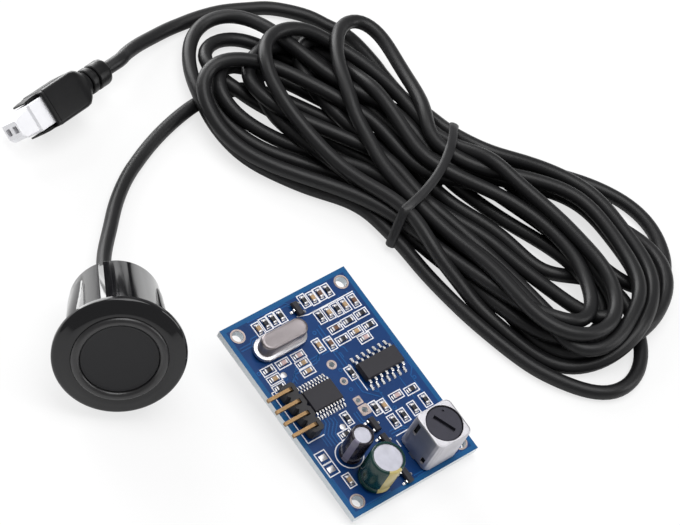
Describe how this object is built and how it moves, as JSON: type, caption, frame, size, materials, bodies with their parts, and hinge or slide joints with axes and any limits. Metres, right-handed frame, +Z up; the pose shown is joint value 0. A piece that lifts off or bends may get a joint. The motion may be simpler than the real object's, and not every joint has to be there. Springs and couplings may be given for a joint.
{
  "type": "ultrasonic distance sensor",
  "caption": "Flanged round ultrasonic probe on a tied hank of thin cable with a plug, and its small control board with side socket, pin header and trimmable transformer.",
  "frame": {"origin": "on the surface that the set lies on, under the middle of the probe and the board taken together", "axes": "+Z up, +X along the board from its socket edge to its transformer edge, +Y across the board away from the pin header"},
  "size_m": [0.1131, 0.12, 0.0247],
  "materials": {
    "board": "blue solder mask over glass fibre laminate",
    "steel": "drawn tinned steel",
    "tin": "tinned",
    "gold": "thin gold plate",
    "chip_plastic": "moulded black",
    "ferrite": "fired ceramic",
    "copper": "enamelled wire",
    "white_nylon": "moulded white",
    "black_sleeve": "shrunk film with a pale stripe",
    "green_sleeve": "shrunk film with a gold stripe",
    "housing_plastic": "glossy moulded black",
    "probe_rubber": "matte black",
    "cup_face": "black painted, satin",
    "piezo_ceramic": "silvered ceramic",
    "cable_jacket": "satin black jacket",
    "red_wire": "thin insulation",
    "tie_film": "plastic over wire"
  },
  "bodies": {
    "sensor_set": {"circuit_board": "board", "crystal_base": "steel", "crystal_can": "steel", "microcontroller": "chip_plastic", "amplifier": "chip_plastic", "transistor_1": "chip_plastic", "transistor_2": "chip_plastic", "transistor_3": "chip_plastic", "transistor_4": "chip_plastic", "header_block": "chip_plastic", "header_pin_1": "gold", "header_pin_2": "gold", "header_pin_3": "gold", "header_pin_4": "gold", "small_capacitor_can": "steel", "small_capacitor_sleeve": "black_sleeve", "large_capacitor_can": "steel", "large_capacitor_sleeve": "green_sleeve", "transformer_shield": "steel", "transformer_former": "chip_plastic", "transformer_pin_1": "tin", "transformer_pin_2": "tin", "transformer_pin_3": "tin", "transformer_pin_4": "tin", "transformer_pin_5": "tin", "drum_core": "ferrite", "winding": "copper", "probe_socket": "white_nylon", "socket_contact_1": "tin", "socket_contact_2": "tin", "probe_housing": "housing_plastic", "decoupling_ring": "probe_rubber", "transducer_cup": "cup_face", "piezo_disc": "piezo_ceramic", "damping_pad": "probe_rubber", "potting": "probe_rubber", "wire_red": "red_wire", "wire_black": "cable_jacket", "plug_housing": "white_nylon", "plug_boot": "cable_jacket", "plug_contact_1": "tin", "plug_contact_2": "tin", "cable_lead_probe": "cable_jacket", "cable_lead_plug": "cable_jacket", "cable_hank": "cable_jacket", "cable_tie": "tie_film"},
    "tuning_core": {"tuning_core": "ferrite"}
  },
  "joints": [
    {"name": "core_trim", "type": "hinge", "parent": "sensor_set", "child": "tuning_core", "pos_m": [0.02762, 0.02127, 0.01239], "axis": [0.1687, 0, 0.9857], "range_deg": [-450, 450]}
  ]
}
